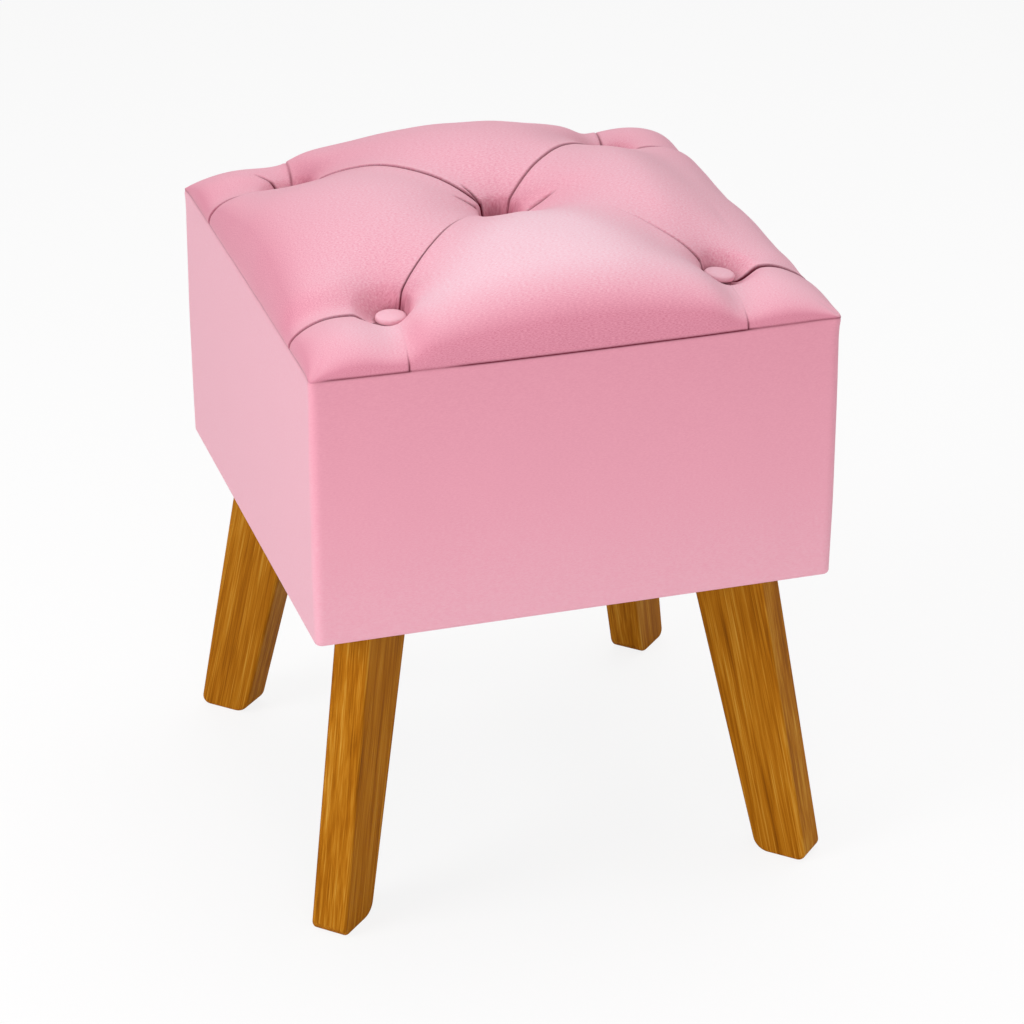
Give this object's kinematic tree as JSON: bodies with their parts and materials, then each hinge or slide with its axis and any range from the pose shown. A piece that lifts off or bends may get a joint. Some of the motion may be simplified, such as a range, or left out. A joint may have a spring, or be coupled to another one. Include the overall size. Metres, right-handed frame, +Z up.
{
  "type": "tufted pouf",
  "caption": "Square upholstered pouf with a button-tufted pink suede seat on splayed honey-stained wooden legs.",
  "frame": {"origin": "on the floor under the middle of the seat", "axes": "+Z up, the front face towards -Y, +X to the right as seen from the front"},
  "size_m": [0.3588, 0.3588, 0.4519],
  "materials": {
    "stained_wood": "satin",
    "pink_suede": "matte",
    "plywood": "matte",
    "pine": "matte",
    "foam": "matte",
    "wadding": "matte",
    "dust_cloth": "matte",
    "twine": "matte",
    "plastic": "matte",
    "zinc_steel": "satin"
  },
  "bodies": {
    "root": {"leg_front_left": "stained_wood", "leg_front_right": "stained_wood", "leg_rear_right": "stained_wood", "leg_rear_left": "stained_wood", "top_cover": "pink_suede", "side_cover": "pink_suede", "button_cap_center": "pink_suede", "button_cap_front_left": "pink_suede", "button_cap_front_right": "pink_suede", "button_cap_rear_right": "pink_suede", "button_cap_rear_left": "pink_suede", "base_board": "plywood", "deck_board": "plywood", "front_board": "plywood", "right_board": "plywood", "rear_board": "plywood", "left_board": "plywood", "leg_dowels": "pine", "corner_post_front_left": "pine", "corner_post_front_right": "pine", "corner_post_rear_right": "pine", "corner_post_rear_left": "pine", "seat_foam": "foam", "front_pad": "foam", "right_pad": "foam", "rear_pad": "foam", "left_pad": "foam", "seat_wadding": "wadding", "dust_cover": "dust_cloth", "tuft_twine": "twine", "twine_washers": "plastic", "hanger_bolts": "zinc_steel", "tee_nuts": "zinc_steel", "button_backs": "zinc_steel", "board_screws": "zinc_steel", "base_edge_screws": "zinc_steel", "base_post_screws": "zinc_steel", "deck_screws": "zinc_steel", "hem_staples": "zinc_steel", "dust_cover_staples": "zinc_steel"}
  },
  "joints": []
}
